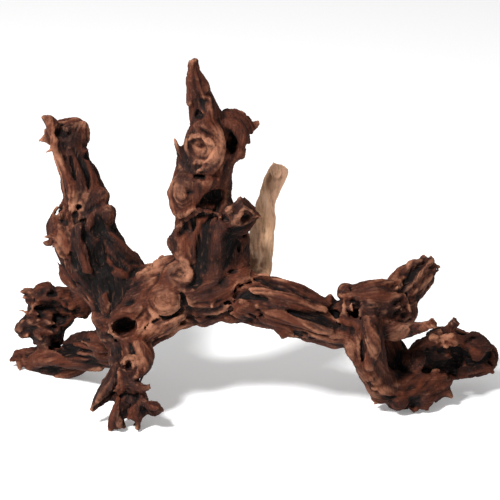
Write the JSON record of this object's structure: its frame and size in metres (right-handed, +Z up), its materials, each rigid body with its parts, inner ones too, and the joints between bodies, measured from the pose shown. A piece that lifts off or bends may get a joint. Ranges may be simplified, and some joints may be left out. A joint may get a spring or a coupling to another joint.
{
  "type": "aquarium driftwood cave ornament",
  "caption": "Branching driftwood-root ornament with a swim-through arch and a small root cave, built from pinned cast-resin limbs, for an aquarium or pond.",
  "frame": {"origin": "centre of the ornament's footprint, on the surface it stands on", "axes": "+X along its length to the viewer's right, +Y to the back, +Z up"},
  "size_m": [0.4482, 0.1806, 0.3338],
  "materials": {
    "brown_cast_resin": "matt, stained reddish brown with tan worn ridges and near-black hollows, cast with a deep wood grain",
    "pale_cast_resin": "matt, pale bare-wood tan with fine streaks",
    "glass_fibre_rod": "satin, pale green-grey with lengthwise fibres",
    "plug_resin": "matt, dark brown filler"
  },
  "bodies": {
    "root": {"cave_back": "brown_cast_resin", "cave_back_pin": "glass_fibre_rod", "crown_burl": "brown_cast_resin", "crown_burl_pin": "glass_fibre_rod", "crown_limb": "brown_cast_resin", "crown_limb_pin": "glass_fibre_rod", "crown_sliver": "brown_cast_resin", "crown_sliver_pin": "glass_fibre_rod", "crown_spire": "brown_cast_resin", "crown_spire_pin": "glass_fibre_rod", "foot_claw": "brown_cast_resin", "foot_claw_pin": "glass_fibre_rod", "foot_spur": "brown_cast_resin", "foot_spur_pin": "glass_fibre_rod", "foot_toe": "brown_cast_resin", "foot_toe_pin": "glass_fibre_rod", "front_foot": "brown_cast_resin", "front_foot_pin": "glass_fibre_rod", "left_limb": "brown_cast_resin", "left_limb_pin": "glass_fibre_rod", "left_rosette": "brown_cast_resin", "left_rosette_pin": "glass_fibre_rod", "pale_branch": "pale_cast_resin", "pale_branch_pin": "glass_fibre_rod", "pour_hole_plug": "plug_resin", "right_basin": "brown_cast_resin", "right_basin_pin": "glass_fibre_rod", "right_knuckle": "brown_cast_resin", "right_knuckle_pin": "glass_fibre_rod", "right_limb": "brown_cast_resin", "right_limb_pin": "glass_fibre_rod", "right_pillar": "brown_cast_resin", "right_pillar_pin": "glass_fibre_rod", "right_root": "brown_cast_resin", "right_root_pin": "glass_fibre_rod", "right_stub": "brown_cast_resin", "right_stub_pin": "glass_fibre_rod", "right_twig": "brown_cast_resin", "right_twig_pin": "glass_fibre_rod", "root_stub": "brown_cast_resin", "root_stub_pin": "glass_fibre_rod", "saddle_knob": "brown_cast_resin", "saddle_knob_pin": "glass_fibre_rod", "trunk": "brown_cast_resin", "upper_left_limb": "brown_cast_resin", "upper_left_limb_pin": "glass_fibre_rod", "upper_left_tip": "brown_cast_resin", "upper_left_tip_pin": "glass_fibre_rod"}
  },
  "joints": []
}
